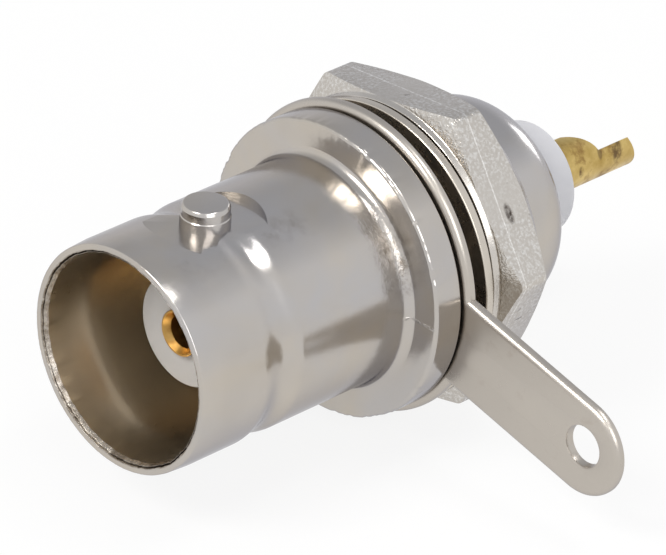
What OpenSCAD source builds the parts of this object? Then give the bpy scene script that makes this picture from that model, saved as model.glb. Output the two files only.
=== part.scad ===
// Round bayonet socket for a panel, with its solder tag, lock washer and hex nut.
// Millimetres. The axis runs along Y with the mouth toward -Y, and one stud points to +Z.
// The origin is the centre of the flange's rear face, the face that seats on the panel.

/* [Barrel] */
// Mouth face, forward of the panel seat
mouth_reach = 12.64; // [12:0.01:15]
// Outside diameter of the barrel
barrel_d = 9.72; // [9.4:0.01:10.2]
// Outside diameter at the mouth's edge, where the barrel starts to draw in
mouth_d = 9.6; // [9.3:0.01:9.7]
// Length over which the barrel draws in to the mouth
mouth_lead = 1; // [0.3:0.05:2]
// Rounding of the mouth's outer edge
mouth_edge = 0.07; // [0.02:0.01:0.15]
// Diameter where the mouth's flat ring ends
mouth_ring_d = 8.9; // [8.6:0.01:9.2]
// Thickness of the mouth's edge, outside the step
mouth_rim = 0.45; // [0.2:0.01:0.6]
// Depth of the mouth's inner chamfer
mouth_step = 0.23; // [0.05:0.01:0.5]
// Bore that grips the plug's outer contact
bore_d = 8.16; // [7.9:0.01:8.3]
// Depth at which the lead-in taper reaches the bore
bore_lead = 2; // [1:0.1:3]
// Depth from the mouth to the shoulder that the plug's outer contact meets
socket_depth = 8.4; // [7:0.1:9]
// Thickness of that shoulder's wall
shoulder_t = 1; // [0.6:0.1:1.6]

/* [Bayonet studs] */
// Stud diameter
stud_d = 2; // [1.8:0.01:2.2]
// Size across the tops of the two studs
studs_across = 11.04; // [10.9:0.01:11.4]
// Stud axis behind the mouth face
stud_back = 4.4; // [4:0.01:5]
// Radial size of the chamfer round a stud's top
stud_chamfer = 0.14; // [0.05:0.01:0.3]
// Height of the chamfer round a stud's top
stud_chamfer_h = 0.34; // [0.1:0.01:0.5]
// Diameter of the flat round a stud
spot_d = 4.9; // [4:0.05:5.5]
// Size across the two flats
spots_across = 9.14; // [9:0.01:9.3]
// Depth of the smooth waist round the barrel at the studs
waist = 0.2; // [0.05:0.01:0.25]
// Waist's reach in front of the stud axis
waist_front = 1.1; // [0.8:0.05:2]
// Waist's reach behind the stud axis
waist_rear = 1; // [0.6:0.05:2]

/* [Flange and bush] */
// Flange diameter
flange_d = 12.78; // [12:0.01:14]
// Flange thickness
flange_t = 1.39; // [1:0.01:2]
// Chamfer of the flange's front edge
flange_chamfer = 0.13; // [0.05:0.01:0.3]
// Radial size of the fillet between barrel and flange
root_fillet = 0.32; // [0.1:0.01:0.5]
// Length of that fillet along the barrel
root_len = 0.55; // [0.2:0.01:1]
// Major diameter of the bush thread, 3/8 inch
bush_d = 9.525; // [9:0.005:10]
// Reach of the bush behind the panel seat
bush_len = 8.4; // [8:0.1:12]
// Length of the plain rounded nose at the bush's end
nose_len = 1.74; // [1:0.01:2]
// Diameter of the nose's end face
nose_d = 7.76; // [7:0.01:8.4]

/* [Insulators] */
// Diameter of the front insulator's nose
nose_ins_d = 4.7; // [4.4:0.01:4.9]
// Front insulator's face behind the mouth face
nose_ins_back = 3.46; // [3.2:0.01:5]
// Diameter of both insulators inside the bush
rear_ins_d = 4.94; // [4.92:0.01:5.4]
// Reach of the rear insulator behind the panel seat
rear_ins_reach = 10.81; // [10:0.01:13]
// Joint between the insulators, in front of the panel seat
ins_joint = 0.6; // [-1:0.1:1]
// Rounding of the insulators' edges
ins_edge = 0.1; // [0.03:0.01:0.2]

/* [Centre contact] */
// Outside diameter of the spring socket
socket_d = 1.96; // [1.8:0.01:2.2]
// Hole for the plug's pin
pin_hole_d = 1.36; // [1.3:0.01:1.5]
// Depth of that hole
pin_hole_depth = 5.6; // [4:0.1:7]
// Depth and radial size of the lead-in at its mouth
pin_lead = 0.2; // [0.05:0.01:0.25]
// Front end of the contact behind the mouth face
contact_back = 3.2; // [3:0.01:5]
// Width of the slot that lets the socket spring
slot_w = 0.5; // [0.2:0.05:0.7]
// Length of the slot
slot_len = 4.8; // [3:0.1:6]
// Direction of the slot from +X toward +Z
slot_angle = 39; // [0:1:360]
// Collar held between the insulators
collar_d = 3.3; // [2.8:0.1:4]
// Thickness of the collar
collar_t = 1; // [0.5:0.1:1.5]
// Diameter of the tail
tail_d = 2.35; // [2.1:0.01:2.6]
// Reach of the tail behind the panel seat, at its longer lower side
tail_reach = 15.95; // [15:0.01:20]
// Slant of the tail's cut end
tail_slant = 24; // [0:1:40]
// Bore of the solder cup
cup_bore_d = 1.7; // [1.4:0.05:1.9]
// Depth of that bore
cup_depth = 3.3; // [2.5:0.1:4]
// Length of the cup that is open on one side
cup_open = 2.25; // [1:0.01:3]
// Radius of the sweep from the open side up to the round tail
cup_sweep_r = 1.8; // [1.5:0.1:4]
// Height of the flat that the sweep leads up to
cup_flat = 1.01; // [0.9:0.01:1.1]
// Height of the open side's edges above the axis
cup_level = -0.1; // [-0.3:0.01:0.3]
// Direction that the open side faces, from +X toward +Z
cup_angle = 128; // [0:1:360]

/* [Solder tag] */
// How far the tag's ring reaches past the flange, all round
tag_ring_over = 0.28; // [0:0.01:0.6]
// Thickness of the tag
tag_t = 0.42; // [0.3:0.01:0.8]
// Rounding of the ring's front edge
tag_edge = 0.3; // [0.05:0.01:0.35]
// Gap between flange and tag
tag_gap = 0.12; // [0.05:0.01:0.3]
// Width of the tongue where it leaves the ring
tongue_root_w = 4.22; // [3.6:0.01:5]
// Width of the tongue at its round end
tongue_w = 4.2; // [3.4:0.01:4.6]
// Distance from the axis to the centre of the tongue's round end
tongue_reach = 13.31; // [12:0.01:16]
// Sideways offset of the tongue's centreline
tongue_offset = 0.27; // [0:0.01:0.4]
// Wire hole in the tongue
tag_hole_d = 1.74; // [1.2:0.01:2.2]
// Hole's centre beyond the centre of the round end
tag_hole_out = 0.13; // [-0.3:0.01:0.3]
// Hole's centre to one side of the tongue's centreline
tag_hole_side = 0.17; // [-0.3:0.01:0.3]
// Direction of the tongue from +X toward +Z
tongue_angle = -13.7; // [-180:0.1:180]

/* [Lock washer] */
// How far the washer reaches past the flange, all round
washer_over = 0.05; // [0:0.01:0.4]
// Thickness of the washer
washer_t = 0.4; // [0.3:0.01:0.7]
// Radial width of the closed ring
washer_band = 0.9; // [0.6:0.05:1.2]
// Number of internal teeth
teeth = 10; // [8:1:12]
// Width of a tooth
tooth_w = 1.7; // [1.2:0.05:2]
// Twist of a tooth about its own radius
tooth_twist = 12; // [8:1:25]
// Gap between tag and teeth
tag_play = 0.65; // [0.1:0.01:0.9]
// How far the loose washer hangs to one side
washer_sag = 0.1; // [0:0.01:0.12]
// Direction in which it hangs, from +X toward +Z
sag_angle = -60; // [-180:1:180]

/* [Hex nut] */
// Size across flats, half an inch
nut_af = 12.7; // [12.4:0.05:15]
// Thickness of the nut
nut_t = 2.85; // [2.4:0.01:4]
// Diameter of the nut's flat front face
nut_face_d = 13.2; // [11:0.05:14]
// Diameter of the nut's flat rear face
nut_rear_d = 12.15; // [11:0.05:12.4]
// Slope of the chamfer on the front of the nut's corners
nut_front_slope = 22; // [15:1:40]
// Slope of the chamfer on the rear of the nut's corners
nut_slope = 27; // [15:1:40]
// Radius of the soft rear edge of the nut's flats
nut_rear_edge = 0.4; // [0.1:0.05:0.6]
// Depth of the countersink at each end of the thread
nut_sink = 0.35; // [0.1:0.05:0.5]
// Direction of one corner from +X toward +Z
nut_angle = 6.6; // [0:0.1:60]
// Gap between the teeth and the nut
nut_play = 0.05; // [0.02:0.01:0.2]

/* [Fits] */
// Radial clearance of tag and nut on the bush
bush_fit = 0.05; // [0.01:0.01:0.1]
// Radial clearance of the washer's teeth on the bush
washer_fit = 0.13; // [0.05:0.01:0.2]
// Radial clearance of the insulators and the contact
inner_fit = 0.02; // [0.01:0.01:0.05]

/* [Hidden] */
$fn = 96;
over = 1;                        // how far a cutter runs past a face

// Stations are distances forward of the panel seat, so what lies behind it is negative.
flange_front = flange_t;
stud_at = mouth_reach - stud_back;
shoulder_front = mouth_reach - socket_depth;
shoulder_rear = shoulder_front - shoulder_t;
nose_start = -(bush_len - nose_len);

barrel_r = barrel_d/2;
bush_r = bush_d/2;
nose_drop = (bush_d - nose_d)/2;
nose_arc = (nose_len*nose_len + nose_drop*nose_drop)/(2*nose_drop);
chamber_r = rear_ins_d/2 + inner_fit;
on_bush_r = bush_r + bush_fit;

collar_front = ins_joint;
collar_rear = collar_front - collar_t;
mouth_step_d = mouth_d - 2*mouth_rim;
contact_front = mouth_reach - contact_back;
cup_sweep_end = -(tail_reach - cup_open);
cup_sweep_top = cup_flat + 0.07;     // a little proud of the flat, so the sweep meets it at an angle
flat_run = 0.4;                      // how far that flat runs on inside the insulator
cup_sweep_drop = cup_sweep_top - cup_level;
cup_sweep_len = sqrt(cup_sweep_r*cup_sweep_r - pow(cup_sweep_r - cup_sweep_drop, 2));

tag_front = -tag_gap;
tag_rear = tag_front - tag_t;
tooth_reach = tooth_w/2*sin(tooth_twist) + washer_t/2*cos(tooth_twist);
washer_mid = tag_rear - tag_play - tooth_reach;
tag_ring_d = flange_d + 2*tag_ring_over;
washer_d = flange_d + 2*washer_over;
washer_in_r = washer_d/2 - washer_band;
washer_bore_r = bush_r + washer_fit;
nut_front = washer_mid - tooth_reach - nut_play;
nut_rear = nut_front - nut_t;
nut_corner_r = nut_af/2/cos(30);

nickel = [0.70, 0.69, 0.67];
white = [0.80, 0.80, 0.81];
gold = [0.72, 0.58, 0.28];

// Local Z becomes the forward direction, and local X and Y become X and Z.
module along_axis() { rotate([90, 0, 0]) children(); }

// A round solid between two stations.
module rod(front, rear, d) { translate([0, 0, rear]) cylinder(h = front - rear, d = d); }

// Half of a smooth dip of the waist's depth: points from its lip to its lowest place.
function dip(lip, low, n = 6) =
    [for (i = [0:n]) let (t = i/n) [barrel_r - waist*(1 - cos(180*t))/2, lip + (low - lip)*t]];
function reversed(list) = [for (i = [len(list) - 1:-1:0]) list[i]];

// A quarter-like arc from the bush down to the nose's end face.
function nose_points(n = 10) =
    let (last = asin(nose_len/nose_arc))
    [for (i = [0:n]) let (a = last*i/n)
        [bush_r - nose_arc*(1 - cos(a)), nose_start - nose_arc*sin(a)]];

// The concave fillet where the barrel meets the flange.
function root_points(n = 5) =
    [for (i = [0:n]) let (a = 90*i/n)
        [barrel_r + root_fillet*(1 - cos(a)), flange_front + root_len*(1 - sin(a))]];

module shell_outline() {
    polygon(concat(
        [[0, mouth_reach],
         [mouth_d/2 - mouth_edge, mouth_reach],
         [mouth_d/2, mouth_reach - mouth_edge],
         [barrel_r, mouth_reach - mouth_lead]],
        dip(stud_at + waist_front, stud_at),
        reversed(dip(stud_at - waist_rear, stud_at, 5)),
        root_points(),
        [[flange_d/2 - flange_chamfer, flange_front],
         [flange_d/2, flange_front - flange_chamfer],
         [flange_d/2, 0],
         [bush_r, 0]],
        nose_points(),
        [[0, -bush_len]]));
}

module socket_hollow() {
    rotate_extrude()
        polygon([[0, mouth_reach + over],
                 [mouth_ring_d/2, mouth_reach + over],
                 [mouth_ring_d/2, mouth_reach],
                 [mouth_step_d/2, mouth_reach - mouth_step],
                 [bore_d/2, mouth_reach - bore_lead],
                 [bore_d/2, shoulder_front],
                 [0, shoulder_front]]);
}

// One stud, standing on local Y, with its chamfered top.
module stud() {
    top = studs_across/2;
    translate([0, 0, stud_at]) rotate([-90, 0, 0]) {
        cylinder(h = top - stud_chamfer_h, d = stud_d);
        translate([0, 0, top - stud_chamfer_h])
            cylinder(h = stud_chamfer_h, d1 = stud_d, d2 = stud_d - 2*stud_chamfer);
    }
}

module spot_face() {
    translate([0, 0, stud_at]) rotate([-90, 0, 0]) translate([0, 0, spots_across/2])
        cylinder(h = barrel_d, d = spot_d);
}

module shell() {
    color(nickel) along_axis() difference() {
        union() {
            difference() {
                rotate_extrude() shell_outline();
                for (side = [0, 180]) rotate([0, 0, side]) spot_face();
            }
            for (side = [0, 180]) rotate([0, 0, side]) stud();
        }
        socket_hollow();
        rod(shoulder_front + over, shoulder_rear - over, nose_ins_d + 2*inner_fit);
        rod(shoulder_rear, -bush_len - over, 2*chamber_r);
    }
}

// The nose stands in the socket, and the wider seat behind the shoulder stops it.
module front_insulator() {
    face = mouth_reach - nose_ins_back;
    color(white) along_axis() difference() {
        rotate_extrude() polygon([
            [0, face], [nose_ins_d/2 - ins_edge, face], [nose_ins_d/2, face - ins_edge],
            [nose_ins_d/2, shoulder_rear], [rear_ins_d/2, shoulder_rear],
            [rear_ins_d/2, ins_joint], [0, ins_joint]]);
        rod(face + over, ins_joint - over, socket_d + 2*inner_fit);
    }
}

module rear_insulator() {
    color(white) along_axis() difference() {
        rotate_extrude() polygon([
            [0, ins_joint], [rear_ins_d/2, ins_joint],
            [rear_ins_d/2, -rear_ins_reach + ins_edge],
            [rear_ins_d/2 - ins_edge, -rear_ins_reach], [0, -rear_ins_reach]]);
        rod(collar_front + over, collar_rear, collar_d + 2*inner_fit);
        rod(collar_rear + over, -rear_ins_reach - over, tail_d + 2*inner_fit);
    }
}

// What the cup's open side removes, for a cup that opens toward local X.
module cup_opening() {
    start = cup_sweep_end + cup_sweep_len;
    end = -tail_reach - 2*over;
    difference() {
        translate([cup_level, -tail_d, end]) cube([tail_d, 2*tail_d, start - end]);
        translate([cup_sweep_top - cup_sweep_r, 0, start]) rotate([90, 0, 0])
            cylinder(h = 3*tail_d, r = cup_sweep_r, center = true);
    }
    translate([cup_flat, -tail_d, end])
        cube([tail_d, 2*tail_d, -rear_ins_reach + flat_run - end]);
}

// What the slanted cut at the tail's end removes, for the same cup.
module tail_cut() {
    translate([-tail_d/2, 0, -tail_reach]) rotate([0, -tail_slant, 0])
        translate([-tail_d, -2*tail_d, -4*tail_d]) cube([4*tail_d, 4*tail_d, 4*tail_d]);
}

module centre_contact() {
    color(gold) along_axis() difference() {
        rotate_extrude() polygon([
            [0, contact_front], [socket_d/2, contact_front], [socket_d/2, collar_front],
            [collar_d/2, collar_front], [collar_d/2, collar_rear],
            [tail_d/2, collar_rear], [tail_d/2, -tail_reach - over], [0, -tail_reach - over]]);
        rod(contact_front + over, contact_front - pin_hole_depth, pin_hole_d);
        rotate([0, 0, slot_angle]) translate([0, -slot_w/2, contact_front - slot_len])
            cube([socket_d, slot_w, slot_len + over]);
        translate([0, 0, contact_front - pin_lead])
            cylinder(h = pin_lead + 0.01, r1 = pin_hole_d/2, r2 = pin_hole_d/2 + pin_lead + 0.01);
        rod(-tail_reach + cup_depth, -tail_reach - 2*over, cup_bore_d);
        rotate([0, 0, cup_angle]) { cup_opening(); tail_cut(); }
    }
}

// The rounding of the ring's front edge, left by the punch.
function tag_edge_points(n = 6) =
    let (r = min(tag_edge, tag_t - 0.05))
    [for (i = [0:n]) let (a = 90*i/n)
        [tag_ring_d/2 - r*(1 - cos(a)), tag_front - r*(1 - sin(a))]];

module tag_outline() {
    rotate([0, 0, tongue_angle]) translate([0, tongue_offset]) {
        polygon([[on_bush_r + tag_edge, -tongue_root_w/2], [tongue_reach, -tongue_w/2],
                 [tongue_reach, tongue_w/2], [on_bush_r + tag_edge, tongue_root_w/2]]);
        translate([tongue_reach, 0]) circle(d = tongue_w);
    }
}

module solder_tag() {
    color(nickel) along_axis() difference() {
        union() {
            translate([0, 0, tag_rear]) linear_extrude(tag_t) tag_outline();
            rotate_extrude() polygon(concat([[0, tag_rear], [tag_ring_d/2, tag_rear]], tag_edge_points(),
                                            [[0, tag_front]]));
        }
        rod(over, tag_rear - over, 2*on_bush_r);
        rotate([0, 0, tongue_angle])
            translate([tongue_reach + tag_hole_out, tongue_offset + tag_hole_side, 0])
                rod(over, tag_rear - over, tag_hole_d);
    }
}

module lock_washer() {
    sag = [washer_sag*cos(sag_angle), washer_sag*sin(sag_angle), 0];
    color(nickel) along_axis() translate(sag) difference() {
        union() {
            difference() {
                rod(washer_mid + washer_t/2, washer_mid - washer_t/2, washer_d);
                rod(washer_mid + washer_t, washer_mid - washer_t, 2*washer_in_r);
            }
            for (i = [0:teeth - 1]) rotate([0, 0, 360*(i + 0.5)/teeth])
                translate([0, 0, washer_mid]) rotate([tooth_twist, 0, 0])
                    translate([bush_r - 0.2, -tooth_w/2, -washer_t/2])
                        cube([washer_in_r - bush_r + 0.4, tooth_w, washer_t]);
        }
        rod(washer_mid + tooth_w, washer_mid - tooth_w, 2*washer_bore_r);
    }
}

module hex_nut() {
    reach = nut_corner_r + over;
    color(nickel) along_axis() difference() {
        intersection() {
            rotate([0, 0, nut_angle]) translate([0, 0, nut_rear])
                cylinder(h = nut_t, r = nut_corner_r, $fn = 6);
            rotate_extrude() polygon([
                [0, nut_front], [nut_face_d/2, nut_front],
                [reach, nut_front - (reach - nut_face_d/2)*tan(nut_front_slope)],
                [reach, nut_rear + nut_rear_edge + (reach - nut_af/2)*tan(nut_slope)],
                [nut_af/2, nut_rear + nut_rear_edge],
                [nut_rear_d/2, nut_rear], [0, nut_rear]]);
        }
        rod(nut_front + over, nut_rear - over, 2*on_bush_r);
        translate([0, 0, nut_front - nut_sink])
            cylinder(h = nut_sink + 0.01, r1 = on_bush_r, r2 = on_bush_r + nut_sink + 0.01);
        translate([0, 0, nut_rear - 0.01])
            cylinder(h = nut_sink + 0.01, r1 = on_bush_r + nut_sink + 0.01, r2 = on_bush_r);
    }
}

shell();
front_insulator();
rear_insulator();
centre_contact();
solder_tag();
lock_washer();
hex_nut();
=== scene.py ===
import math

import bmesh
import bpy
from mathutils import Matrix, Vector, noise


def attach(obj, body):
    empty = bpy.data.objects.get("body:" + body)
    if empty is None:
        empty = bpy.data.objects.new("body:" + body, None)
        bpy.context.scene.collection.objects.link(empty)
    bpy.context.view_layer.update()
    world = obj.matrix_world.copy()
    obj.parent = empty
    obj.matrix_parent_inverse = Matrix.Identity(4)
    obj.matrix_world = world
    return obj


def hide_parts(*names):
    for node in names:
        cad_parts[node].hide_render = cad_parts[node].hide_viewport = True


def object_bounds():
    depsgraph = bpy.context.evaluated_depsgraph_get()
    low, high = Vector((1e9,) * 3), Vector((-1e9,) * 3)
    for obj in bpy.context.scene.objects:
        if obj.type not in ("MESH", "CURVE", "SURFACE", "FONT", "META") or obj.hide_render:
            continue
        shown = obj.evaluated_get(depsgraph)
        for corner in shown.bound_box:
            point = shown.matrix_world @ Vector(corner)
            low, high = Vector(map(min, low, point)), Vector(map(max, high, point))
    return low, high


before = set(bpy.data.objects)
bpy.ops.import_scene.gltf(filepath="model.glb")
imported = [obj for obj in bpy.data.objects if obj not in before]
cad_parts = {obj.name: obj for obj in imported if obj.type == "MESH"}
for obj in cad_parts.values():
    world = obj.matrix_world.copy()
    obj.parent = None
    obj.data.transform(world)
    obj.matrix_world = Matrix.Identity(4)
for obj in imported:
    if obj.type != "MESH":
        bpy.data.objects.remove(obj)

cad_lo, cad_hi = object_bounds()
MM = 0.001
UM = 0.000001
PAST = 1.0      # how far, in millimetres, a tool reaches past what it cuts

# ---------------------------------------------------------------- sizes
# Millimetres and degrees. Radii are from the Y axis. Stations are along Y: 0 is the flange's rear
# face, the mouth is at -Y and the solder cup at +Y. Angles go from +X toward +Z. Corner radii are
# written in the profiles, as the third number of a point.

MOUTH = -12.64
MOUTH_R = 4.80
MOUTH_EDGE = 0.07
MOUTH_LEAD = 1.0
MOUTH_RAGGED = 0.4
MOUTH_INSIDE_R = 4.6
GROOVE_IN_R = 4.44
GROOVE_IN_DEPTH = 0.06
GROOVE_R = 4.475
GROOVE_DEPTH = 0.18
GROOVE_OUT_R = 4.525
GROOVE_OUT_DEPTH = 0.02
BARREL_R = 4.86
WAIST = 0.20
WAIST_FRONT = 1.1
WAIST_REAR = 1.0
BORE_R = 4.08
BORE_MOUTH_R = 4.35
BORE_MOUTH = 0.25
BORE_LEAD = 2.0
BORE_END = -4.24
BORE_FACES_R = 4.34          # faces inside this radius and between these stations are the bore's
BORE_FACES_START = MOUTH + 0.3
BORE_FACES_END = -3.5

# the studs' heights are from the axis
STUD_Y = MOUTH + 4.4
STUD_TOP = 5.52
STUD_R = 0.985
STUD_TOP_R = 0.90
STUD_SHOULDER = 5.36
STUD_LINE = 5.03
STUD_FOOT = 4.99
STUD_FOOT_R = 1.02
STUD_SUNK = 4.2
STUD_SUNK_R = 1.03
SPOT_FACE = 4.57
SPOT_FACE_R = 2.45
SPOT_TOOL_TOP = 9

FLANGE_FRONT = -1.39
FLANGE_R = 6.39
FLANGE_FRONT_EDGE = 0.17
FLANGE_REAR_EDGE = 0.08
FLANGE_RAGGED_R = 6.2      # the dents are outside this radius
FLANGE_RAGGED_END = -1.1   # and before this station
FILLET_RISE = 0.40
FILLET_RUN = 0.55
UNDERCUT_R = 4.40
UNDERCUT_END = 0.5
BUSH_START = 0.9
BUSH_R = 4.7625
NOSE_START = 6.66
NOSE_LENGTH = 1.74
NOSE_DROP = 0.8825
BUSH_END = 8.40
BUSH_FACE_R = 3.4
BUSH_LIP_R = 3.1
BUSH_LIP = 8.2
LINER_R = 2.49
SHOULDER_R = 2.37
SHOULDER = -3.24

NOSE_FRONT = -9.18
NOSE_R = 2.35
LINER_FIT_R = 2.47
LINER_JOINT = -0.6
LINER_BORE_R = 1.0
LINER_REAR = 10.81
LINER_REAR_BORE_R = 1.195
COLLAR_POCKET_R = 1.67

SOCKET_FRONT = -9.44
SOCKET_R = 0.98
SOCKET_LIP_R = 0.89
PIN_LEAD_R = 0.70
PIN_HOLE_R = 0.68
PIN_HOLE_END = -3.84
SLOT_END = -4.64
SLOT_W = 0.5
SLOT_ANGLE = 39
COLLAR_R = 1.65
COLLAR_END = 0.4
TAIL_R = 1.175
TAIL_END = 15.95
TAIL_SLANT = 24
# the cup's open side, as it is before the cup is turned to its angle
CUP_R = 0.85
CUP_BOTTOM = 12.65
CUP_ANGLE = 128
CUP_OPEN = 2.25
CUP_LEVEL = -0.1
CUP_FLAT = 1.01
CUP_FLAT_START = 10.41
CUP_SWEEP_TOP = 1.08
CUP_SWEEP_R = 1.8

TAG_FRONT = 0.12
TAG_REAR = 0.54
TAG_ROLL = 0.28
TAG_REAR_EDGE = 0.03
TAG_RING_R = 6.67
TAG_BORE_R = 4.8125
TAG_ANGLE = -13.7
# the tongue lies along +X before the tag is turned to its angle
TONGUE_REACH = 13.31
TONGUE_OFFSET = 0.27
TONGUE_HALF = 2.1
TONGUE_ROOT_HALF = 2.11
TAG_HOLE_R = 0.87
TAG_HOLE_LEAD = ((0.12, 0), (0.03, 0.04), (0, 0.12))   # (wider by, behind the front face by)
TAG_HOLE_OUT = 0.13
TAG_HOLE_SIDE = 0.17

WASHER_MID = 1.563
WASHER_T = 0.4
WASHER_R = 6.44
WASHER_IN_R = 5.54
WASHER_SAG = 0.1
WASHER_SAG_ANGLE = -60
TEETH = 10
TOOTH_HALF = 0.85
TOOTH_TWIST = 12
TOOTH_TIP_R = 4.91
TOOTH_ROOT_R = 5.72

NUT_FRONT = 1.982
NUT_REAR = 4.832
NUT_AF = 12.7
NUT_ANGLE = 6.6
NUT_CORNER = 0.22
NUT_BOSS_R = 6.25
NUT_BOSS_FOOT_R = 6.36
NUT_BOSS = 0.24
NUT_FRONT_SLOPE = 22
NUT_REAR_SLOPE = 27
NUT_REAR_EDGE = 0.4
NUT_REAR_FLAT_R = 6.37
NUT_REAR_FACE_R = 6.08
NUT_BORE_R = 4.8125
NUT_BORE_LEAD = 0.35
NUT_SOFT = 0.09
NUT_BLOCK = 0.5        # the hexagon is this much longer at each end before it is turned
NUT_REACH = 8.3        # past its corners
NUT_LEAD_R = 6.17      # where the bore's leads would end, PAST its faces

# ---------------------------------------------------------------- camera

CAMERA_PLACE = (0.14479, -0.15289, 0.11989)
CAMERA_RIGHT = (0.70202, 0.7102, 0.05279)
CAMERA_BACK = (0.59807, -0.6282, 0.49774)
CAMERA_LENS = 324.32

cam_data = bpy.data.cameras.new("camera")
cam_data.lens = CAMERA_LENS
cam_data.sensor_width = 36.0
cam_data.clip_start, cam_data.clip_end = 0.01, 5.0
cam = bpy.data.objects.new("camera", cam_data)
bpy.context.collection.objects.link(cam)
bpy.context.scene.camera = cam
back = Vector(CAMERA_BACK).normalized()
up = back.cross(Vector(CAMERA_RIGHT).normalized()).normalized()
right = up.cross(back).normalized()
cam.matrix_world = Matrix.Translation(CAMERA_PLACE) @ Matrix((right, up, back)).transposed().to_4x4()

# ---------------------------------------------------------------- mesh helpers

SHARP = 28      # edges past this angle are shaded sharp


def smooth(me):
    """Smooth shading, apart from the sharp edges."""
    for p in me.polygons:
        p.use_smooth = True
    me.set_sharp_from_angle(angle=math.radians(SHARP))


def mesh_object(name, bm):
    """An object from a bmesh, which is freed."""
    me = bpy.data.meshes.new(name)
    bmesh.ops.recalc_face_normals(bm, faces=bm.faces)
    bm.to_mesh(me)
    bm.free()
    smooth(me)
    ob = bpy.data.objects.new(name, me)
    bpy.context.collection.objects.link(ob)
    return ob


def arc_corner(a, b, c, r, n):
    """Points that round the corner b between a and c with radius r."""
    ab, cb = (a - b), (c - b)
    half = ab.angle(cb) / 2
    d = min(r / math.tan(half), ab.length * 0.49, cb.length * 0.49)
    r = d * math.tan(half)
    p, q = b + ab.normalized() * d, b + cb.normalized() * d
    centre = b + (ab.normalized() + cb.normalized()).normalized() * (r / math.sin(half))
    out = []
    for i in range(n + 1):
        v = (p - centre).lerp(q - centre, i / n)
        out.append(centre + v.normalized() * r)
    return out


def rounded(points, n=5):
    """A closed profile from (radius, station) or (radius, station, corner radius) entries."""
    vs = [Vector(p[:2]) for p in points]
    out = []
    for i, p in enumerate(points):
        r = p[2] if len(p) > 2 else 0
        if r > 0:
            out += arc_corner(vs[i - 1], vs[i], vs[(i + 1) % len(vs)], r, n)
        else:
            out.append(vs[i])
    return out


def split_long(points, step):
    """Cuts a closed profile's long straight runs into steps, so that rings stay even."""
    out = []
    for i, p in enumerate(points):
        q = points[(i + 1) % len(points)]
        k = max(1, int((q - p).length / step))
        out += [p.lerp(q, j / k) for j in range(k)]
    return out


def lathe(name, points, segs=256, shape=None):
    """Turns a closed profile round Y. shape(angle, radius, station) may move each point."""
    bm = bmesh.new()
    rings = []
    for p in points:
        if p[0] < 1e-6:
            rings.append([bm.verts.new((0, p[1] * MM, 0))] * segs)
            continue
        ring = []
        for i in range(segs):
            a = 2 * math.pi * i / segs
            r, y = shape(a, p[0], p[1]) if shape else (p[0], p[1])
            ring.append(bm.verts.new((r * math.cos(a) * MM, y * MM, r * math.sin(a) * MM)))
        rings.append(ring)
    for r0, r1 in zip(rings, rings[1:] + rings[:1]):
        if r0[0] is r0[1] and r1[0] is r1[1]:
            continue
        for j in range(segs):
            k = (j + 1) % segs
            face = []
            for v in (r0[j], r0[k], r1[k], r1[j]):
                if v not in face:
                    face.append(v)
            bm.faces.new(face)
    return mesh_object(name, bm)


def apply_modifiers(ob):
    """Turns the modifiers on an object into its mesh."""
    me = bpy.data.meshes.new_from_object(ob.evaluated_get(bpy.context.evaluated_depsgraph_get()))
    ob.modifiers.clear()
    old = ob.data
    ob.data = me
    bpy.data.meshes.remove(old)
    smooth(me)
    return ob


def boolean(ob, tool, operation):
    """Cuts, joins or keeps an object by a tool, which is used up."""
    mod = ob.modifiers.new("cut", "BOOLEAN")
    mod.operation = operation
    mod.solver = "EXACT"
    mod.object = tool
    apply_modifiers(ob)
    bpy.data.objects.remove(tool)
    return ob


def soften(ob, width, angle=22):
    """Rounds every edge sharper than an angle by a width."""
    mod = ob.modifiers.new("round", "BEVEL")
    mod.width = width * MM
    mod.segments = 3
    mod.limit_method = "ANGLE"
    mod.angle_limit = math.radians(angle)
    mod.use_clamp_overlap = True
    return apply_modifiers(ob)


def turn(ob, matrix):
    """Moves an object's mesh."""
    ob.data.transform(matrix)
    return ob


def about(axis, degrees):
    return Matrix.Rotation(math.radians(degrees), 4, axis)


def stand(ob, y, sign):
    """Turns a lathe's +Y to +Z, or to -Z where the sign is -1, at station y."""
    return turn(ob, Matrix.Translation((0, y * MM, 0)) @ about("X", 90 * sign))


def box_object(name, lo, hi):
    bm = bmesh.new()
    bmesh.ops.create_cube(bm, size=1)
    for v in bm.verts:
        for i in range(3):
            v.co[i] = (lo[i] if v.co[i] < 0 else hi[i]) * MM
    return mesh_object(name, bm)


def cylinder(name, radius, y0, y1, segs):
    return lathe(name, [Vector(p) for p in ((0, y0), (radius, y0), (radius, y1), (0, y1))], segs)


def loft(bm, rows):
    """Faces between each row of vertices and the next."""
    n = len(rows[0])
    for a, b in zip(rows, rows[1:]):
        for j in range(n):
            k = (j + 1) % n
            bm.faces.new((a[j], a[k], b[k], b[j]))


# ---------------------------------------------------------------- node helpers


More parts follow.
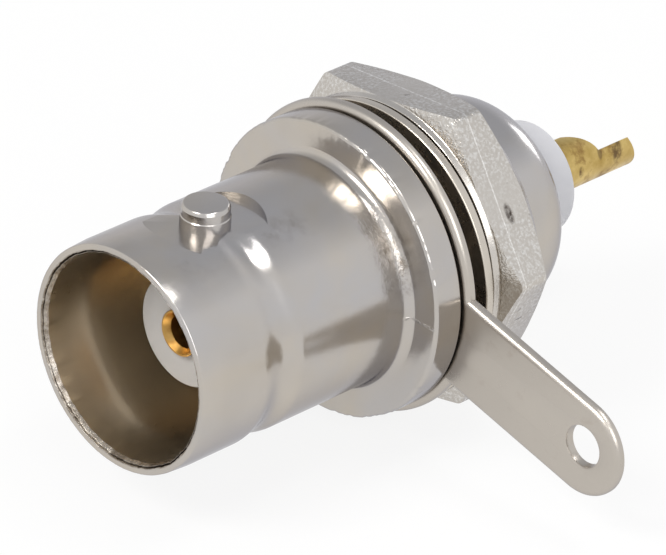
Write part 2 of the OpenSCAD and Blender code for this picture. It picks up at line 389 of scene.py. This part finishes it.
class Nodes:
    """A short way to write a node tree."""

    def __init__(self, tree):
        self.nt = tree

    def put(self, socket, value):
        if isinstance(value, bpy.types.NodeSocket):
            self.nt.links.new(value, socket)
        else:
            socket.default_value = value

    def node(self, kind, inputs=(), **props):
        n = self.nt.nodes.new(kind)
        for k, v in props.items():
            setattr(n, k, v)
        for k, v in dict(inputs).items():
            self.put(n.inputs[k], v)
        return n

    def noise(self, scale, detail, rough, distortion=0.0):
        return self.node("ShaderNodeTexNoise", {
            "Vector": self.coord, "Scale": scale, "Detail": detail,
            "Roughness": rough, "Distortion": distortion}).outputs["Fac"]

    def mix(self, fac, a, b):
        """Colour a where fac is 0, colour b where it is 1."""
        n = self.node("ShaderNodeMix", data_type="RGBA")
        for i, v in ((0, fac), (6, a), (7, b)):
            self.put(n.inputs[i], v)
        return n.outputs[2]

    def math(self, op, a, b=0.0, clamp=False):
        return self.node("ShaderNodeMath", {0: a, 1: b}, operation=op, use_clamp=clamp).outputs[0]

    def add(self, a, b):
        return self.math("ADD", a, b)

    def times(self, first, *others):
        for v in others:
            first = self.math("MULTIPLY", first, v)
        return first

    def most(self, first, *others):
        for v in others:
            first = self.math("MAXIMUM", first, v)
        return first

    def vector(self, op, a, b=(0, 0, 0), output=0):
        return self.node("ShaderNodeVectorMath", {0: a, 1: b}, operation=op).outputs[output]

    def map_range(self, v, a, b, c, d):
        """Takes a..b to c..d and clamps."""
        return self.node("ShaderNodeMapRange", {
            "Value": v, "From Min": a, "From Max": b, "To Min": c, "To Max": d}).outputs["Result"]

    def bump(self, height, distance, normal=None):
        """A bump of a height given in micrometres."""
        n = self.node("ShaderNodeBump", {"Height": height, "Distance": distance * UM, "Strength": 1.0})
        if normal is not None:
            self.put(n.inputs["Normal"], normal)
        return n.outputs["Normal"]

    def rays(self):
        """Two masks: rays mirrored or bent by a surface, and rays straight from the camera."""
        path = self.node("ShaderNodeLightPath").outputs
        return self.most(path["Is Glossy Ray"], path["Is Transmission Ray"]), path["Is Camera Ray"]

    def blend(self, fac, a, b):
        """Shader a where fac is 0, shader b where it is 1."""
        return self.node("ShaderNodeMixShader", {0: fac, 1: a, 2: b}).outputs[0]


class Mat(Nodes):
    """A Principled material in object space."""

    def __init__(self, name, **values):
        self.mat = bpy.data.materials.new(name)
        self.mat.use_nodes = True
        super().__init__(self.mat.node_tree)
        self.bsdf = self.nt.nodes["Principled BSDF"]
        self.coord = self.node("ShaderNodeTexCoord").outputs["Object"]
        for k, v in values.items():
            self.set(k.replace("_", " "), v)

    def set(self, name, value):
        self.put(self.bsdf.inputs[name], value)

    def band(self, v, lo, hi, soft):
        """1 where v lies between lo and hi, with soft edges."""
        up = self.map_range(v, lo - soft, lo + soft, 0, 1)
        down = self.map_range(v, hi - soft, hi + soft, 1, 0)
        return self.math("MULTIPLY", up, down, clamp=True)

    def xyz(self):
        """The point's x, y and z in mm."""
        n = self.node("ShaderNodeSeparateXYZ", {"Vector": self.vector("MULTIPLY", self.coord, (1 / MM,) * 3)})
        return n.outputs[0], n.outputs[1], n.outputs[2]

    def polar(self):
        """The point's radius and station in mm and its angle in degrees, by name."""
        x, y, z = self.xyz()
        r = self.math("SQRT", self.add(self.times(x, x), self.times(z, z)))
        angle = self.times(self.math("ARCTAN2", z, x), math.degrees(1))
        return {"radius": r, "station": y, "angle": angle}

    def within(self, place, limits):
        """1 inside a patch given by (low, high, softness) of radius, station or angle."""
        return self.times(*(self.band(place[k], *v) for k, v in limits.items()))

    def spot(self, centre, size):
        """1 in the middle of an oval patch and 0 outside it. Centre and size in mm."""
        v = self.vector("SUBTRACT", self.coord, tuple(c * MM for c in centre))
        v = self.vector("MULTIPLY", v, tuple(1 / (c * MM) for c in size))
        return self.map_range(self.vector("LENGTH", v, output="Value"), 0.7, 1.15, 1, 0)


# ---------------------------------------------------------------- materials

NICKEL = (0.505, 0.462, 0.405, 1)
NICKEL_HAZE = (0.475, 0.46, 0.455, 1)
# dark colour of the grit at the mouth and fillet, also used for painted shade in the fillet and the painted
# reflection streak on the barrel
NICKEL_GRIT_AND_SHADE = (0.17, 0.135, 0.10, 1)
NICKEL_STAIN = (0.30, 0.22, 0.17, 1)
NICKEL_EDGE_TINT = (0.66, 0.665, 0.71, 1)
# painted light: the bore's plate is a brighter, browner copy of the nickel that lifts the bore's shade and
# stands in for the bore's reflection of itself
LIT_BORE_NICKEL = (0.67, 0.575, 0.435, 1)
TAG_NICKEL = (0.50, 0.46, 0.41, 1)
WASHER_NICKEL = (0.60, 0.55, 0.48, 1)
CAST_NICKEL = (0.58, 0.545, 0.50, 1)
CAST_DARK = (0.535, 0.50, 0.455, 1)
CAST_SPARKLE = (0.70, 0.68, 0.645, 1)
# painted highlight: the near-white colour of the parting line, a real line on the nut
CAST_LINE_HIGHLIGHT = (0.92, 0.90, 0.86, 1)
SOOT = (0.07, 0.055, 0.045, 1)
GOLD_DARK = (0.44, 0.30, 0.09, 1)
GOLD_LIGHT = (0.66, 0.49, 0.19, 1)
GOLD_STAIN = (0.24, 0.135, 0.045, 1)
GOLD_BURN = (0.11, 0.065, 0.035, 1)
# painted shade: darker, browner gold for the socket and its pin hole
GOLD_SOCKET_SHADE = (0.42, 0.22, 0.055, 1)
WHITE = (0.56, 0.56, 0.585, 1)
# painted shade: the same white plastic, darker for the front insulator deep in the mouth
SHADED_WHITE = (0.45, 0.44, 0.435, 1)

# Patches of the shell: (low, high, softness)
# grit in the fillet between barrel and flange on one side, with painted shade in that crease
ROOT_GRIT_AND_SHADE = {"station": (-2.6, -1.30, 0.3), "radius": (4.83, 5.35, 0.05), "angle": (16, 56, 8)}
# painted reflection: a dark, broken streak along the barrel's top, where the dark surroundings above are
# mirrored
BARREL_REFLECTION_STREAK = {"angle": (60, 71, 5), "station": (-11.8, -2.2, 0.5)}
MOUTH_GRIT = {"station": (-12.7, -12.33, 0.03), "radius": (4.2, 4.56, 0.02)}
PARTING_RIDGE = {"angle": (-0.7, 0.5, 0.35), "radius": (4.9, 6.3, 0.05), "station": (-2.2, -1.25, 0.05)}

# Marks: (centre, size)
NUT_BLEMISH = ((5.486, 3.38, 3.263), (0.36, 0.2, 0.5))
NUT_CURL = ((6.3, 3.4, -1.2), (0.12, 0.35, 0.07))
CUP_BURNS = (((1.11, 14.72, 0.38), (0.6, 0.30, 0.6)), ((1.17, 12.55, 0.07), (0.3, 0.16, 0.26)))
CUP_FAINT_BURN = ((1.06, 13.72, 0.51), (0.3, 0.13, 0.3))

# The mould's parting line on the nut: its stations, softness and slopes along X and Z
NUT_LINE = (3.13, 3.19, 0.02)
NUT_LINE_LEAN = (0.0542, -0.0334)


def shade(colour, by):
    """A colour made lighter or darker by a factor."""
    return tuple(min(1, c * by) for c in colour[:3]) + (1,)


def nickel(name, tint, rough, grain, grain_scale, wave, spread=0.04, blotch=0.04, stain=0.0):
    """Nickel plate: its tint, its roughness and spread, and its grain and slow waves in micrometres."""
    m = Mat(name, Metallic=1.0, Specular_Tint=NICKEL_EDGE_TINT)
    cloud = m.noise(420, 3, 0.55)
    fine = m.noise(grain_scale, 3, 0.6)
    m.base = m.mix(m.map_range(cloud, 0.3, 0.7, 0, 1), shade(tint, 1 - blotch), shade(tint, 1 + blotch))
    if stain:
        spots = m.noise(900, 4, 0.6, distortion=0.4)
        m.base = m.mix(m.map_range(spots, 0.60, 0.78, 0, stain), m.base, NICKEL_STAIN)
    m.normal = m.bump(fine, grain, m.bump(m.noise(300, 2, 0.5), wave))
    m.set("Base Color", m.base)
    mottle = m.add(cloud, m.times(fine, 0.6))
    m.set("Roughness", m.map_range(mottle, 0.5, 1.1, rough - spread, rough + spread))
    m.set("Normal", m.normal)
    return m


def shell_material():
    """Bright plate over a casting that is rougher in places, with a soft haze; a dark colour goes on the grit
    at the mouth and fillet, on painted shade in the fillet and on a painted reflection streak along the
    barrel's top.
    """
    m = nickel("nickel_bright", NICKEL, 0.19, grain=2, grain_scale=6000, wave=28, spread=0.05)
    place = m.polar()
    ragged = m.noise(1500, 4, 0.7)
    # the fillet's grit bump and its painted shade
    root = m.times(m.within(place, ROOT_GRIT_AND_SHADE), m.map_range(ragged, 0.38, 0.62, 0.15, 1))
    broken = m.map_range(m.noise(420, 3, 0.6), 0.44, 0.6, 0, 1)
    # painted reflection: the dark streak along the barrel's top, which also roughens the bump
    painted_reflection_streak = m.times(m.within(place, BARREL_REFLECTION_STREAK), broken, 0.4)
    # grit at the fillet and mouth plus the painted reflection streak: they roughen the bump and place the
    # dark colour
    rough = m.math("ADD", m.add(root, painted_reflection_streak), m.within(place, MOUTH_GRIT), clamp=True)
    normal = m.bump(m.times(m.noise(9500, 3, 0.75), rough), 22, m.normal)
    ridge = m.times(m.within(place, PARTING_RIDGE), m.map_range(m.noise(7000, 2, 0.7), 0.35, 0.6, 0.2, 1))
    haze = m.map_range(m.noise(170, 3, 0.6, distortion=0.5), 0.36, 0.66, 0, 0.9)
    # where the dark colour goes: grit, painted shade in the fillet and the painted reflection streak
    grit_and_painted_shade = m.times(rough, m.map_range(ragged, 0.42, 0.62, 0.1, 0.8))
    m.set("Normal", m.bump(ridge, 30, normal))
    m.set("Base Color", m.mix(grit_and_painted_shade, m.mix(haze, m.base, NICKEL_HAZE), NICKEL_GRIT_AND_SHADE))
    return m


def nut_material():
    """Plate over a gritty casting, with a parting line round the flats painted near white as a highlight, a
    blemish and small pits.
    """
    m = nickel("nickel_grainy", CAST_NICKEL, 0.22, grain=4, grain_scale=9000, wave=30, spread=0.05)
    place = m.polar()
    x, y, z = m.xyz()
    outer = m.map_range(place["radius"], 6.3, 6.45, 0.1, 1)
    grit = m.noise(7800, 2, 0.6)
    normal = m.bump(m.times(grit, outer), 22, m.normal)
    sparkle = m.times(m.map_range(grit, 0.46, 0.68, 0, 1), outer)
    base = m.mix(sparkle, m.mix(outer, m.base, CAST_DARK), CAST_SPARKLE)
    lean = m.add(m.times(x, NUT_LINE_LEAN[0]), m.times(z, NUT_LINE_LEAN[1]))
    line = m.times(m.band(m.add(y, lean), *NUT_LINE), m.map_range(grit, 0.35, 0.6, 0.2, 0.8))
    # the parting line is real; its near-white colour is a painted highlight
    base = m.mix(m.times(line, m.map_range(place["radius"], 6.3, 6.36, 0, 1)), base, CAST_LINE_HIGHLIGHT)
    blemish = m.times(m.spot(*NUT_BLEMISH), m.map_range(m.noise(4200, 4, 0.7), 0.34, 0.6, 0.35, 1))
    pits = m.map_range(m.noise(2600, 2, 0.5), 0.70, 0.78, 0, 0.35)
    mark = m.most(blemish, m.times(m.spot(*NUT_CURL), 0.8), pits)
    m.set("Normal", m.bump(m.times(mark, -1.0), 30, normal))
    m.set("Base Color", m.mix(mark, base, SOOT))
    return m


def gold_material():
    """Gold plate, stained where the cup was handled, with painted shade: darker, browner gold over the
    socket.
    """
    m = Mat("gold_stained", Metallic=1.0)
    place = m.polar()
    stain = m.noise(1300, 5, 0.65, distortion=0.2)
    ragged = m.map_range(m.noise(2200, 5, 0.75), 0.38, 0.58, 0.15, 1)
    base = m.mix(m.map_range(m.noise(900, 4, 0.6), 0.35, 0.65, 0, 1), GOLD_DARK, GOLD_LIGHT)
    base = m.mix(m.map_range(stain, 0.50, 0.64, 0, 0.75), base, GOLD_STAIN)
    burns = [m.times(m.spot(*s), ragged) for s in CUP_BURNS]
    mark = m.most(*burns, m.times(m.spot(*CUP_FAINT_BURN), 0.7))
    base = m.mix(m.times(mark, 0.85), base, GOLD_BURN)
    # painted shade over the socket's stations
    socket_shade = m.within(place, {"station": (-12, -3.5, 0.1)})
    m.set("Base Color", m.mix(m.times(socket_shade, 0.65), base, GOLD_SOCKET_SHADE))
    m.set("Roughness", m.map_range(stain, 0.4, 0.7, 0.30, 0.5))
    m.set("Normal", m.bump(m.noise(4200, 3, 0.6), 7))
    return m


def plastic(name, colour):
    """Slightly translucent white plastic."""
    m = Mat(name, Specular_IOR_Level=0.35, Subsurface_Weight=0.15, Subsurface_Scale=1.0,
            Subsurface_Radius=(0.0006, 0.0006, 0.0007))
    m.set("Base Color", m.mix(m.map_range(m.noise(260, 3, 0.5), 0.3, 0.7, 0, 1), shade(colour, 0.96), colour))
    m.set("Roughness", m.map_range(m.noise(5200, 3, 0.6), 0.3, 0.7, 0.42, 0.55))
    m.set("Normal", m.bump(m.noise(2600, 2, 0.5), 3))
    return m


def paint(ob, mat):
    ob.data.materials.clear()
    ob.data.materials.append(mat.mat)
    return ob


# ---------------------------------------------------------------- shell


def waist(y):
    """How far the barrel dips at station y."""
    d = y - STUD_Y
    if d < -WAIST_FRONT or d > WAIST_REAR:
        return 0.0
    return WAIST * (1 + math.cos(math.pi * (d / (WAIST_FRONT if d < 0 else WAIST_REAR)))) / 2


def barrel_line(rings=94, step=0.1):
    """The barrel's outline, from the mouth's taper to just before the fillet."""
    stations = [MOUTH + MOUTH_LEAD + step * i for i in range(rings)]
    return [(BARREL_R - waist(y), y) for y in stations]


def root_line(n=8):
    """The fillet between barrel and flange: a quarter of an oval."""
    out = []
    for i in range(n + 1):
        a = math.pi / 2 * i / n
        r = BARREL_R + FILLET_RISE * (1 - math.cos(a))
        out.append((r, FLANGE_FRONT - FILLET_RUN * (1 - math.sin(a))))
    return out


def nose_line(n=14):
    """The bush's domed end: an arc that starts along the bush."""
    arc = (NOSE_LENGTH ** 2 + NOSE_DROP ** 2) / (2 * NOSE_DROP)
    last = math.asin(NOSE_LENGTH / arc)
    return [(BUSH_R - arc * (1 - math.cos(last * i / n)), NOSE_START + arc * math.sin(last * i / n))
            for i in range(n + 1)]


def uneven(a, r, y):
    """Breaks the edges of the mouth and the flange, as tumbling does: no two places are alike."""
    p = Vector((math.cos(a), math.sin(a), 0))
    if r > FLANGE_RAGGED_R and y < FLANGE_RAGGED_END:
        dent = max(0, noise.noise(p * 7 + Vector((2, 9, 4))) + 0.6 * noise.noise(p * 25))
        return r - 0.09 * dent, y + 0.05 * dent
    if y > MOUTH + MOUTH_RAGGED:
        return r, y
    slow = noise.noise(p * 9 + Vector((3, 1, 7)))
    fast = noise.noise(p * 30 + Vector((8, 2, 5)))
    if r < MOUTH_INSIDE_R:
        return r + 0.035 * slow + 0.03 * fast, y + 0.02 * abs(fast)
    return r - 0.012 * abs(slow) - 0.008 * abs(fast), y + 0.01 * abs(fast)


def shell_line():
    """The casting's half section."""
    pts = [(GROOVE_IN_R, MOUTH + GROOVE_IN_DEPTH, 0.01), (GROOVE_R, MOUTH + GROOVE_DEPTH),
           (GROOVE_OUT_R, MOUTH + GROOVE_OUT_DEPTH, 0.012), (MOUTH_R, MOUTH, MOUTH_EDGE)]
    pts += barrel_line()
    pts += root_line()
    pts += [(FLANGE_R, FLANGE_FRONT, FLANGE_FRONT_EDGE), (FLANGE_R, 0, FLANGE_REAR_EDGE),
            (UNDERCUT_R, 0), (UNDERCUT_R, UNDERCUT_END), (BUSH_R, BUSH_START)]
    pts += nose_line()
    pts += [(BUSH_FACE_R, BUSH_END, 0.1), (BUSH_LIP_R, BUSH_LIP), (LINER_R, BUSH_LIP, 0.05),
            (LINER_R, SHOULDER), (SHOULDER_R, SHOULDER), (SHOULDER_R, BORE_END),
            (BORE_R, BORE_END), (BORE_R, MOUTH + BORE_LEAD), (BORE_MOUTH_R, MOUTH + BORE_MOUTH, 0.03)]
    return split_long(rounded(pts), 0.35)


def stud():
    """A bayonet stud with a fine line round its middle."""
    line = rounded([(0, STUD_TOP), (STUD_TOP_R, STUD_TOP, 0.09), (STUD_R, STUD_SHOULDER, 0.10),
                    (STUD_R, STUD_LINE, 0.01), (STUD_FOOT_R, STUD_FOOT, 0.02),
                    (STUD_SUNK_R, STUD_SUNK), (0, STUD_SUNK)])
    return lathe("tool", line, 96)


def make_shell():
    shell = lathe("shell_skin", shell_line(), 320, shape=uneven)
    for sign in (1, -1):
        tool = cylinder("tool", SPOT_FACE_R, SPOT_FACE, SPOT_TOOL_TOP, 128)
        boolean(shell, stand(tool, STUD_Y, sign), "DIFFERENCE")
    for sign in (1, -1):
        boolean(shell, stand(stud(), STUD_Y, sign), "UNION")
    return shell


shell = paint(make_shell(), shell_material())
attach(shell, "socket")
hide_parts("shell")
# painted light: the bore's faces get a brighter, browner copy of the plate
bore = nickel("nickel_bore", LIT_BORE_NICKEL, 0.31, grain=1.2, grain_scale=5200, wave=6)
shell.data.materials.append(bore.mat)
for p in shell.data.polygons:
    x, y, z = (c / MM for c in p.center)
    if math.hypot(x, z) < BORE_FACES_R and BORE_FACES_START < y < BORE_FACES_END:
        p.material_index = 1

# ---------------------------------------------------------------- insulators


def make_insulator(name, points):
    return lathe(name, split_long(rounded(points), 0.8), 160)


white = plastic("insulator_white", WHITE)
# painted shade: the front insulator gets a darker copy of the white
shaded_white = plastic("insulator_nose", SHADED_WHITE)
front = make_insulator("front_insulator_nose", [
    (LINER_BORE_R, NOSE_FRONT, 0.04), (NOSE_R, NOSE_FRONT, 0.07), (NOSE_R, SHOULDER),
    (LINER_FIT_R, SHOULDER), (LINER_FIT_R, LINER_JOINT), (LINER_BORE_R, LINER_JOINT)])
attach(paint(front, shaded_white), "socket")
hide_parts("front_insulator")
rear = make_insulator("rear_insulator_ring", [
    (COLLAR_POCKET_R, LINER_JOINT), (LINER_FIT_R, LINER_JOINT), (LINER_FIT_R, LINER_REAR, 0.16),
    (LINER_REAR_BORE_R, LINER_REAR, 0.05), (LINER_REAR_BORE_R, COLLAR_END), (COLLAR_POCKET_R, COLLAR_END)])
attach(paint(rear, white), "socket")
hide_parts("rear_insulator")

# ---------------------------------------------------------------- centre contact


def cup_opening():
    """What is cut from the cup's open side, where it faces +X: a box less the sweep's cylinder."""
    drop = CUP_SWEEP_TOP - CUP_LEVEL
    start = TAIL_END - CUP_OPEN - math.sqrt(CUP_SWEEP_R ** 2 - (CUP_SWEEP_R - drop) ** 2)
    tool = box_object("tool", (CUP_LEVEL, start, -2), (3, 18, 2))
    rod = cylinder("rod", CUP_SWEEP_R, -4, 4, 256)
    turn(rod, Matrix.Translation(((CUP_SWEEP_TOP - CUP_SWEEP_R) * MM, start * MM, 0)) @ about("X", 90))
    return boolean(tool, rod, "DIFFERENCE")


def make_contact():
    pts = [(PIN_LEAD_R, NOSE_FRONT), (SOCKET_LIP_R, SOCKET_FRONT, 0.02), (SOCKET_R, SOCKET_FRONT, 0.05),
           (SOCKET_R, LINER_JOINT), (COLLAR_R, LINER_JOINT), (COLLAR_R, COLLAR_END), (TAIL_R, COLLAR_END),
           (TAIL_R, TAIL_END + PAST), (CUP_R, TAIL_END + PAST), (CUP_R, CUP_BOTTOM), (0, CUP_BOTTOM),
           (0, PIN_HOLE_END), (PIN_HOLE_R, PIN_HOLE_END)]
    contact = lathe("contact_turning", split_long(rounded(pts), 0.5), 128)
    slot = box_object("tool", (0, -10, -SLOT_W / 2), (2, SLOT_END, SLOT_W / 2))
    boolean(contact, turn(slot, about("Y", -SLOT_ANGLE)), "DIFFERENCE")
    aim = about("Y", -CUP_ANGLE)
    flat = box_object("tool", (CUP_FLAT, CUP_FLAT_START, -2), (3, 18, 2))
    end = box_object("tool", (-3, 0, -3), (6, 6, 3))
    turn(end, Matrix.Translation((-TAIL_R * MM, TAIL_END * MM, 0)) @ about("Z", -TAIL_SLANT))
    for tool in (cup_opening(), flat, end):
        boolean(contact, turn(tool, aim), "DIFFERENCE")
    return contact


contact = paint(make_contact(), gold_material())
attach(contact, "socket")
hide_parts("centre_contact")

# ---------------------------------------------------------------- solder tag


def tag_line(inset, n_ring=200, n_side=10, n_tip=48):
    """The tag's outline less an inset, as (x, z) with the tongue along +X, then the ring's arc."""
    ring = TAG_RING_R - inset
    tip, root = TONGUE_HALF - inset, TONGUE_ROOT_HALF - inset
    a0 = math.asin((TONGUE_OFFSET - root) / ring)
    a1 = math.asin((TONGUE_OFFSET + root) / ring)

    def side(a, sign, t):
        x = ring * math.cos(a) * (1 - t) + TONGUE_REACH * t
        return x, TONGUE_OFFSET + sign * (root * (1 - t) + tip * t)

    out = [side(a0, -1, i / n_side) for i in range(n_side)]
    for i in range(n_tip + 1):
        b = -math.pi / 2 + math.pi * i / n_tip
        out.append((TONGUE_REACH + tip * math.cos(b), TONGUE_OFFSET + tip * math.sin(b)))
    out += [side(a1, 1, 1 - i / n_side) for i in range(1, n_side + 1)]
    for i in range(1, n_ring):
        b = a1 + (2 * math.pi + a0 - a1) * i / n_ring
        out.append((ring * math.cos(b), ring * math.sin(b)))
    return out


def tag_layers(n=6):
    """(inset, station) of each layer of the tag's edge: rolled in front, nearly square behind."""
    out = []
    for i in range(n + 1):
        b = math.pi / 2 * i / n
        out.append((TAG_ROLL * (1 - math.sin(b)), TAG_FRONT + TAG_ROLL * (1 - math.cos(b))))
    return out + [(0.0, TAG_REAR - TAG_REAR_EDGE), (TAG_REAR_EDGE, TAG_REAR)]


def make_tag():
    bm = bmesh.new()
    rows = []
    for inset, y in tag_layers():
        rows.append([bm.verts.new((x * MM, y * MM, z * MM)) for x, z in tag_line(inset)])
    for y in (TAG_REAR, TAG_FRONT):
        row = []
        for x, z in tag_line(0):
            k = TAG_BORE_R / math.hypot(x, z) * MM
            row.append(bm.verts.new((x * k, y * MM, z * k)))
        rows.append(row)
    loft(bm, rows + rows[:1])
    aim = about("Y", -TAG_ANGLE)
    plate = turn(mesh_object("tag_plate", bm), aim)
    line = [(0, -2), (1.2, -2)]
    line += [(TAG_HOLE_R + wider, TAG_FRONT + behind) for wider, behind in TAG_HOLE_LEAD]
    line += [(TAG_HOLE_R, 3), (0, 3)]
    drill = lathe("drill", [Vector(p) for p in line], 96)
    place = Vector((TONGUE_REACH + TAG_HOLE_OUT, 0, TONGUE_OFFSET + TAG_HOLE_SIDE)) * MM
    return boolean(plate, turn(drill, Matrix.Translation(aim @ place)), "DIFFERENCE")


satin = nickel("nickel_satin", TAG_NICKEL, 0.30, grain=1.6, grain_scale=8000, wave=8, blotch=0.02, stain=0.3)
tag = paint(make_tag(), satin)
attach(tag, "tag")
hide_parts("solder_tag")

# ---------------------------------------------------------------- lock washer


def make_tooth(n=12):
    """One tooth along +X, twisted out of the plate's plane toward its tip."""
    bm = bmesh.new()
    rows = []
    w, t = TOOTH_HALF, WASHER_T / 2
    corners = ((-w, -t), (w, -t), (w, t), (-w, t))
    for k in range(n + 1):
        u = k / n
        r = TOOTH_TIP_R + (TOOTH_ROOT_R - TOOTH_TIP_R) * u
        twist = math.radians(TOOTH_TWIST) * min(1, (1 - u) * 2.2)
        c, s = math.cos(twist), math.sin(twist)
        row = []
        for across, through in corners:
            y = WASHER_MID + through * c + across * s
            row.append(bm.verts.new((r * MM, y * MM, (across * c - through * s) * MM)))
        rows.append(row)
    loft(bm, rows)
    bm.faces.new(rows[0])
    bm.faces.new(rows[-1])
    return mesh_object("tooth", bm)


def make_washer():
    front, rear = WASHER_MID - WASHER_T / 2, WASHER_MID + WASHER_T / 2
    line = [(WASHER_IN_R, front, 0.03), (WASHER_R, front, 0.07),
            (WASHER_R, rear, 0.05), (WASHER_IN_R, rear, 0.03)]
    washer = lathe("washer_ring", split_long(rounded(line), 0.5), 256)
    for i in range(TEETH):
        boolean(washer, turn(make_tooth(), about("Y", -360 * (i + 0.5) / TEETH)), "UNION")
    a = math.radians(WASHER_SAG_ANGLE)
    x, z = WASHER_SAG * math.cos(a), WASHER_SAG * math.sin(a)
    return turn(washer, Matrix.Translation((x * MM, 0, z * MM)))


steel = nickel("nickel_washer", WASHER_NICKEL, 0.28, grain=2, grain_scale=6000, wave=6)
washer = paint(make_washer(), steel)
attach(washer, "washer")
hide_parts("lock_washer")

# ---------------------------------------------------------------- hex nut


def hexagon(name, y0, y1):
    """A hexagonal block between two stations, with rounded edges along Y."""
    bm = bmesh.new()
    low, high = [], []
    r = NUT_AF / 2 / math.cos(math.radians(30))
    for i in range(6):
        a = math.radians(NUT_ANGLE + 60 * i)
        for row, y in ((low, y0), (high, y1)):
            row.append(bm.verts.new((r * math.cos(a) * MM, y * MM, r * math.sin(a) * MM)))
    bm.faces.new(low)
    bm.faces.new(high)
    loft(bm, (low, high))
    upright = [e for e in bm.edges if (e.verts[0] in low) != (e.verts[1] in low)]
    bmesh.ops.bevel(bm, geom=upright, offset=NUT_CORNER * MM, segments=4, affect="EDGES", profile=0.5)
    return mesh_object(name, bm)


def make_nut():
    """A hexagon held to a turned form: a low boss, sloping shoulders and a sloping rear."""
    y0, y1 = NUT_FRONT, NUT_REAR
    shoulder = y0 + NUT_BOSS + (NUT_REACH - NUT_BOSS_FOOT_R) * math.tan(math.radians(NUT_FRONT_SLOPE))
    behind = y1 - NUT_REAR_EDGE - (NUT_REACH - NUT_AF / 2) * math.tan(math.radians(NUT_REAR_SLOPE))
    nut = hexagon("nut_body", y0 - NUT_BLOCK, y1 + NUT_BLOCK)
    line = rounded([(0, y0), (NUT_BOSS_R, y0, 0.06), (NUT_BOSS_FOOT_R, y0 + NUT_BOSS, 0.10),
                    (NUT_REACH, shoulder), (NUT_REACH, behind), (NUT_REAR_FLAT_R, y1 - NUT_REAR_EDGE, 0.4),
                    (NUT_REAR_FACE_R, y1, 0.12), (0, y1)], 6)
    boolean(nut, lathe("form", line, 256), "INTERSECT")
    soften(nut, NUT_SOFT)
    hole = [(0, y0 - PAST), (NUT_LEAD_R, y0 - PAST), (NUT_BORE_R, y0 + NUT_BORE_LEAD),
            (NUT_BORE_R, y1 - NUT_BORE_LEAD), (NUT_LEAD_R, y1 + PAST), (0, y1 + PAST)]
    return boolean(nut, lathe("drill", [Vector(p) for p in hole], 192), "DIFFERENCE")


nut = paint(make_nut(), nut_material())
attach(nut, "nut")
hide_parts("hex_nut")

# ---------------------------------------------------------------- floor and light

DIFFUSE_SKY = (0.80, 0.80, 0.81, 1)
DIFFUSE_STRENGTH = 0.72
METAL_SKY = (0.97, 0.98, 1, 1)
METAL_CEILING = (0.60, 0.615, 0.65, 1)
CEILING_WAY = (-0.346, 0.297, 0.890)
PURE_WHITE = (1, 1, 1, 1)
FLOOR_GREY = (0.80, 0.80, 0.80, 1)
FLOOR_SHOWN = 0.86
FLOOR_GAP = 0.0004

world = bpy.data.worlds.new("studio")
bpy.context.scene.world = world
world.use_nodes = True
sky = Nodes(world.node_tree)
light = sky.nt.nodes["Background"]
light.inputs["Color"].default_value = DIFFUSE_SKY
light.inputs["Strength"].default_value = DIFFUSE_STRENGTH
# metal sees the white surroundings, greyer toward the ceiling
way = sky.node("ShaderNodeTexCoord").outputs["Generated"]
tone = sky.node("ShaderNodeValToRGB", {"Fac": sky.vector("DOT_PRODUCT", way, CEILING_WAY, "Value")})
for element, position, colour in zip(tone.color_ramp.elements, (0.50, 0.84), (METAL_SKY, METAL_CEILING)):
    element.position = position
    element.color = colour
seen = sky.node("ShaderNodeBackground", {"Color": tone.outputs["Color"], "Strength": 1.0})
plain = sky.node("ShaderNodeBackground", {"Color": PURE_WHITE, "Strength": 1.0})
mirrored, direct = sky.rays()
inner = sky.blend(mirrored, light.outputs["Background"], seen.outputs["Background"])
outer = sky.blend(direct, inner, plain.outputs["Background"])
sky.put(sky.nt.nodes["World Output"].inputs["Surface"], outer)

bm = bmesh.new()
bmesh.ops.create_grid(bm, x_segments=2, y_segments=2, size=0.6)
floor = mesh_object("floor", bm)
floor.location = (0, 0, cad_lo.z - FLOOR_GAP)
ground = Mat("floor_white", Base_Color=FLOOR_GREY, Roughness=0.9)
glow = ground.node("ShaderNodeEmission", {"Color": PURE_WHITE, "Strength": 1.0})
mirrored, direct = ground.rays()
shown = ground.times(ground.most(direct, mirrored), FLOOR_SHOWN)
surface = ground.blend(shown, ground.bsdf.outputs["BSDF"], glow.outputs["Emission"])
ground.put(ground.nt.nodes["Material Output"].inputs["Surface"], surface)
floor.data.materials.append(ground.mat)


def softbox(name, place, size, power, target=(0, 0, 0), colour=(1, 1, 1)):
    """A rectangular lamp that faces a target. Metres and watts."""
    lamp = bpy.data.lights.new(name, "AREA")
    lamp.shape = "RECTANGLE"
    lamp.size, lamp.size_y = size
    lamp.energy = power
    lamp.color = colour
    ob = bpy.data.objects.new(name, lamp)
    bpy.context.collection.objects.link(ob)
    ob.location = place
    ob.rotation_euler = (Vector(place) - Vector(target)).to_track_quat("Z", "Y").to_euler()


softbox("key", (-0.03, -0.27, 0.27), (0.13, 0.13), 0.85, colour=(1, 0.985, 0.95))
softbox("fill", (0.30, -0.12, 0.20), (0.20, 0.20), 0.35)
softbox("overhead", (0.09, 0.05, 0.28), (0.12, 0.07), 0.19, target=(0, -0.006, 0))
softbox("rear", (-0.05, 0.29, 0.06), (0.07, 0.09), 0.07)

bpy.context.scene.view_settings.view_transform = "Standard"
